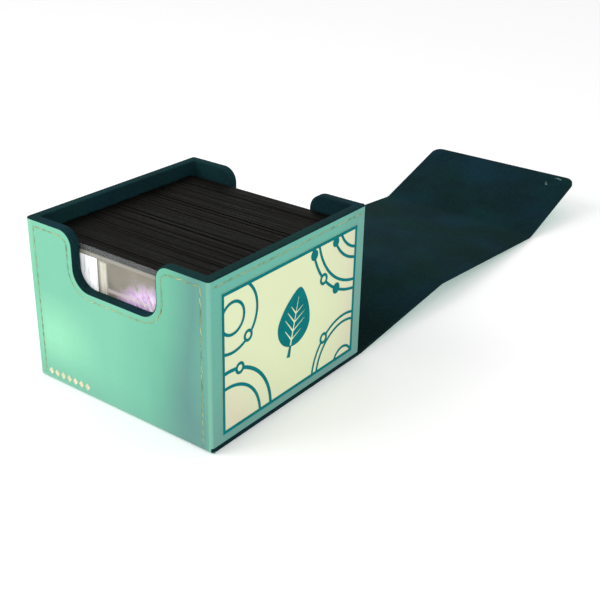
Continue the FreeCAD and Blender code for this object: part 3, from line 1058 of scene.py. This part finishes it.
deck = merge("black_sleeved_cards", copies)
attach(deck, "deck")
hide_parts("sleeved_cards")


# ---------------------------------------------------------------------------
# Front card: one card in a sleeve with a clear face, standing sideways behind the
# thumb cut-out. Its print is a plain text box, a name bar and a painted picture.

printed = Shader("front_card_print", Specular_IOR_Level=0.4, Emission_Strength=0.3)
across, _, upward = printed.axes()


def box_mask(left, right, low, high):
    """1 inside a rectangle of the card's face, in mm."""
    return (across.above(left * MM) * across.below(right * MM)
            * upward.above(low * MM) * upward.below(high * MM))


cloud = printed.noise(75, detail=4.0, distortion=0.6)
picture = printed.ramp(cloud, (0.3, linear(98, 86, 64)), (0.5, linear(126, 116, 92)),
                       (0.7, linear(148, 138, 118)))
haze = printed.spread(across, 0.0, 0.012) * printed.spread(upward, 0.066, 0.058)
picture = printed.mix(haze * 0.75, picture, linear(166, 158, 160))

# A flower-like burst of light in the picture: rays whose noise runs out from its heart.
from_heart_x, from_heart_z = (across - 0.0195) * 0.8, upward - 0.0425
reach = (from_heart_x * from_heart_x + from_heart_z * from_heart_z).maths("POWER", 0.5)
bearing = from_heart_x.maths("ARCTAN2", from_heart_z)
polar = printed.node("ShaderNodeCombineXYZ", {}, {"X": bearing * 5.5, "Y": reach * 110})
rays = printed.node("ShaderNodeTexNoise", {}, {"Vector": polar, "Scale": 1.6, "Detail": 3.0,
                                               "Roughness": 0.6})
flare = printed.spread(reach + (rays - 0.5) * 0.014, 0.0215, 0.0165)
petals = printed.ramp(rays, (0.34, linear(150, 112, 166)), (0.45, linear(206, 166, 214)),
                      (0.56, linear(240, 212, 244)), (0.66, linear(255, 248, 255)))
picture = printed.mix(flare, picture, petals)
bar_glow = printed.spread(upward, 0.0527, 0.0535) * printed.spread(upward, 0.0552, 0.0543)
picture = printed.mix(bar_glow * 0.7, picture, linear(226, 208, 214))
face = printed.mix(box_mask(-8.6, 44, -10, 80), linear(120, 112, 96), picture)
top_margin = upward.above(67.0 * MM)
face = printed.mix(top_margin, face, linear(152, 146, 132))
writing = printed.noise(900, detail=1.0, stretch=(0.9, 1, 0.22))
lines = printed.node("ShaderNodeTexWave", {"wave_type": "BANDS", "bands_direction": "X"},
                     {"Vector": printed.place(), "Scale": 135.0, "Distortion": 0.4,
                      "Detail": 1.0}, output=1)
words = printed.spread(writing, 0.42, 0.52) * printed.spread(lines, 0.45, 0.7) * 0.4
text_box = box_mask(-40, -14.4, 8, 66.7)
paper_white = printed.mix(words, linear(255, 255, 255), linear(150, 158, 172))
face = printed.mix(text_box, face, paper_white)
name_bar = box_mask(-13.4, -8.6, 8, 66.4)
name_core = box_mask(-12.7, -9.3, 8.7, 65.7)
name_print = printed.mix(words * 0.6, linear(222, 218, 200), linear(150, 146, 130))
face = printed.mix(name_bar, face, linear(176, 168, 146))
face = printed.mix(name_core, face, name_print)
# Painted glow: the text box and the burst of light get a weak emission that lifts them out of the
# wall's shade.
painted_card_glow = printed.mix(text_box + flare * 0.6, linear(0, 0, 0), face)
printed.drive(Base_Color=face, Emission_Color=painted_card_glow,
              Roughness=printed.spread(cloud, 0.3, 0.7, 0.3, 0.42),
              Normal=printed.relief(1800, 0.00002, 0.4))

CARD_CORNER = 3.0 * MM
front_card = new_block("front_card_print", *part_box("front_card"))
round_edges(front_card, CARD_CORNER, lambda edge: edge_runs(edge, 1), 8)
round_edges(front_card, 0.06 * MM, lambda edge: edge.calc_face_angle(0) > SHARP, 2)
smooth(front_card)
finish_piece(front_card, printed.material, "front_card", "card_face", "front_card")

clear_film = Shader("clear_sleeve_film", Alpha=0.07, Specular_IOR_Level=0.6)
clear_film.drive(Base_Color=clear_film.two_tone(120, linear(215, 220, 222),
                                                linear(240, 244, 245)),
                 Roughness=clear_film.varied(90, 0.06, 0.2, detail=3.0),
                 Normal=clear_film.relief(140, 0.0001, 0.35))
CLEAR_FILM = 0.12 * MM
sleeve_low, sleeve_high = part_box("front_sleeve")
clear_face = new_block("front_sleeve_clear_face", sleeve_low,
                       (sleeve_high.x, sleeve_low.y + CLEAR_FILM, sleeve_high.z))
score(clear_face, (0, 0, 68.5 * MM), (0, 0, 1))
finish_piece(clear_face, clear_film.material, "front_card", "sleeve_clear", "front_sleeve")
back_film = new_block("front_sleeve_black_back",
                      (sleeve_low.x, sleeve_high.y - FILM, sleeve_low.z), sleeve_high)
for share in (-0.6, 0.6):
    score(back_film, (sleeve_high.x * share, 0, 0), (1, 0, 0))
round_edges(back_film, 0.05 * MM, lambda edge: edge.calc_face_angle(0) > SHARP, 2)
finish_piece(back_film, plastic.material, "front_card", "sleeve_black", "front_sleeve")


# ---------------------------------------------------------------------------
# Hidden core: grey boards inside the walls and panels, the floor board with its
# lining, and four disc magnets, two in the front wall and two in the flap.

greyboard = Shader("greyboard", Roughness=0.9)
greyboard.drive(Base_Color=greyboard.two_tone(1400, linear(128, 124, 116), linear(168, 164, 154),
                                              0.35, 0.65, detail=3.0),
                Normal=greyboard.relief(2600, 0.00008, 0.6, detail=3.0))
plated = Shader("plated_magnet", Metallic=1.0)
plated.drive(Base_Color=plated.two_tone(700, linear(170, 172, 174), linear(206, 208, 210)),
             Roughness=plated.varied(1600, 0.22, 0.38))
for name, node in frame["nodes"].items():
    if node.hide_render or name in ("printed_panel", "print_border", "foil_mark"):
        continue
    if name == "floor_lining":
        surface_node(name, microfibre)
    else:
        surface_node(name, (plated if "magnets" in name else greyboard).material)


# ---------------------------------------------------------------------------
# Camera, floor and studio light: a white paper floor, a bright even room, and two
# soft lamps, the stronger one on the front left.

def look(eye, target, roll, lens):
    bpy.ops.object.camera_add(location=eye)
    camera = bpy.context.object
    camera.rotation_mode = "QUATERNION"
    direction = (Vector(target) - Vector(eye)).normalized()
    turn = direction.to_track_quat("-Z", "Y")
    camera.rotation_quaternion = Quaternion(direction, roll) @ turn
    camera.data.lens = lens
    camera.data.clip_start = 0.01
    bpy.context.scene.camera = camera


clear_selection()
look((0.28228, -0.31020, 0.24005), (0.04039, 0.02020, 0.03875), math.radians(-1.42), 61.43)

bpy.ops.mesh.primitive_plane_add(size=40, location=(0, 0.1, -0.0001))
floor = start_piece("studio_floor")
paper = Shader("studio_paper", Roughness=0.9, Base_Color=(0.95, 0.95, 0.95, 1),
               Emission_Color=(1, 1, 1, 1), Emission_Strength=0.2)
floor.data.materials.append(paper.material)

world = bpy.data.worlds.new("studio")
bpy.context.scene.world = world
world.use_nodes = True
room = world.node_tree.nodes["Background"].inputs
room["Color"].default_value = (1, 1, 1, 1)
room["Strength"].default_value = 0.74


def soft_light(name, place, aim, size, power):
    bpy.ops.object.light_add(type="AREA", location=place)
    light = bpy.context.object
    light.name = name
    light.data.size = size
    light.data.energy = power
    light.rotation_mode = "QUATERNION"
    light.rotation_quaternion = (Vector(aim) - Vector(place)).to_track_quat("-Z", "Y")


soft_light("key_light", (-0.5, -0.6, 0.7), (0, 0, 0.03), 0.6, 4.2)
soft_light("fill_light", (0.8, -0.3, 0.5), (0, 0, 0.03), 0.6, 0.5)
bpy.context.scene.view_settings.view_transform = "Standard"
